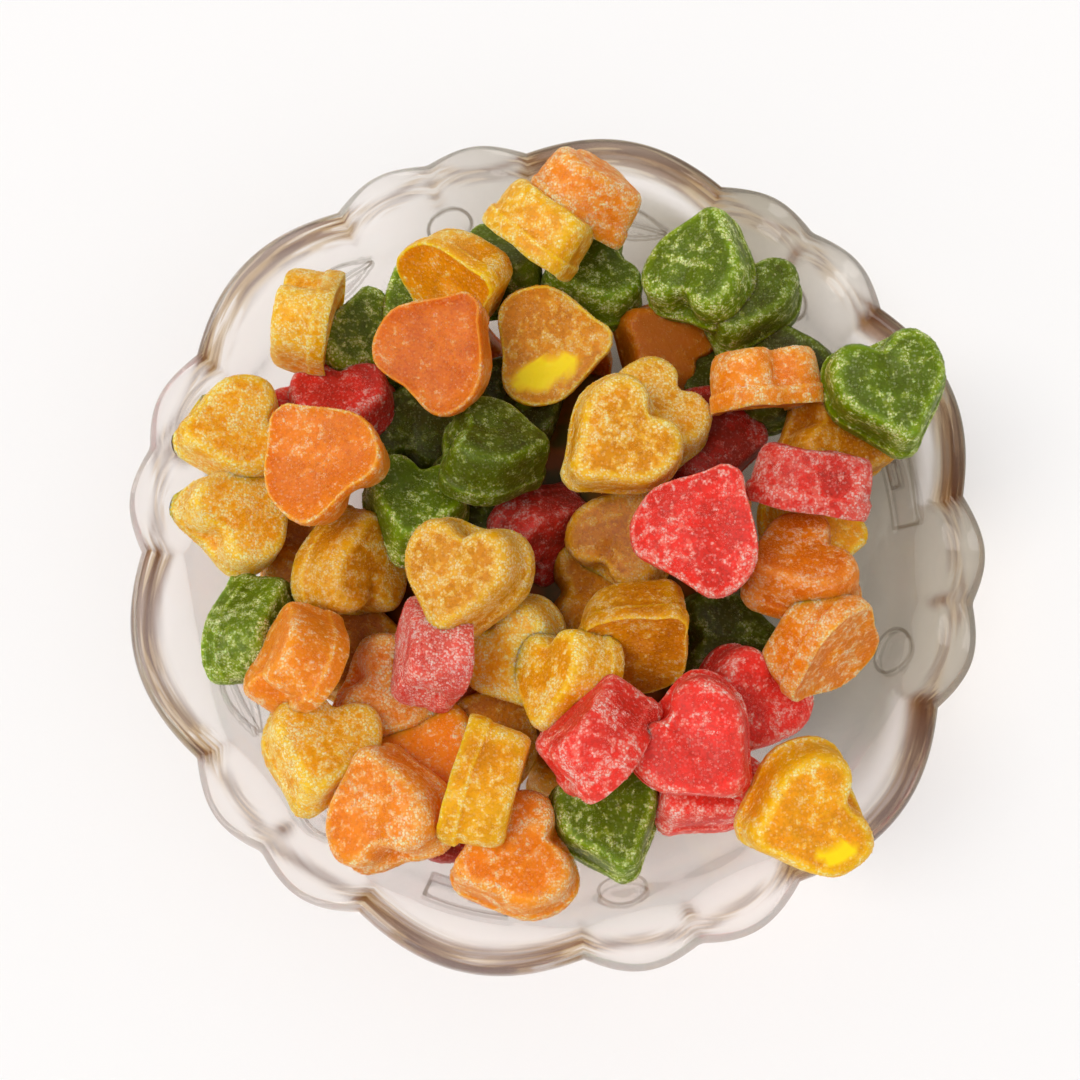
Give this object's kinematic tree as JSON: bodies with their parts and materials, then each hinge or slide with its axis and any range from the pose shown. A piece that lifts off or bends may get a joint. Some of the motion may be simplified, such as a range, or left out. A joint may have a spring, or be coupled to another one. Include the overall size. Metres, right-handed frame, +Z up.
{
  "type": "bowl of heart-shaped jelly candies",
  "caption": "Clear pressed-glass bowl with a scalloped rim, heaped with sugar-coated heart-shaped fruit jellies in red, orange, yellow and green.",
  "frame": {"origin": "middle of the bowl's flat foot, on the table", "axes": "+Z up along the bowl's axis; +Y from the viewer towards the far side of the bowl; +X to the viewer's right"},
  "size_m": [0.1864, 0.1856, 0.079],
  "materials": {
    "clear_glass": "clear pressed glass, smooth and fire-polished, faintly warm grey",
    "orange_jelly": "translucent orange fruit jelly, frosted with sugar",
    "yellow_jelly": "translucent yellow fruit jelly, frosted with sugar",
    "red_jelly": "translucent red fruit jelly, frosted with sugar",
    "green_jelly": "translucent green fruit jelly, frosted with sugar",
    "sugar": "white sugar crystals"
  },
  "bodies": {
    "root": {"bowl": "clear_glass", "candy_heap": "orange_jelly"}
  },
  "joints": []
}
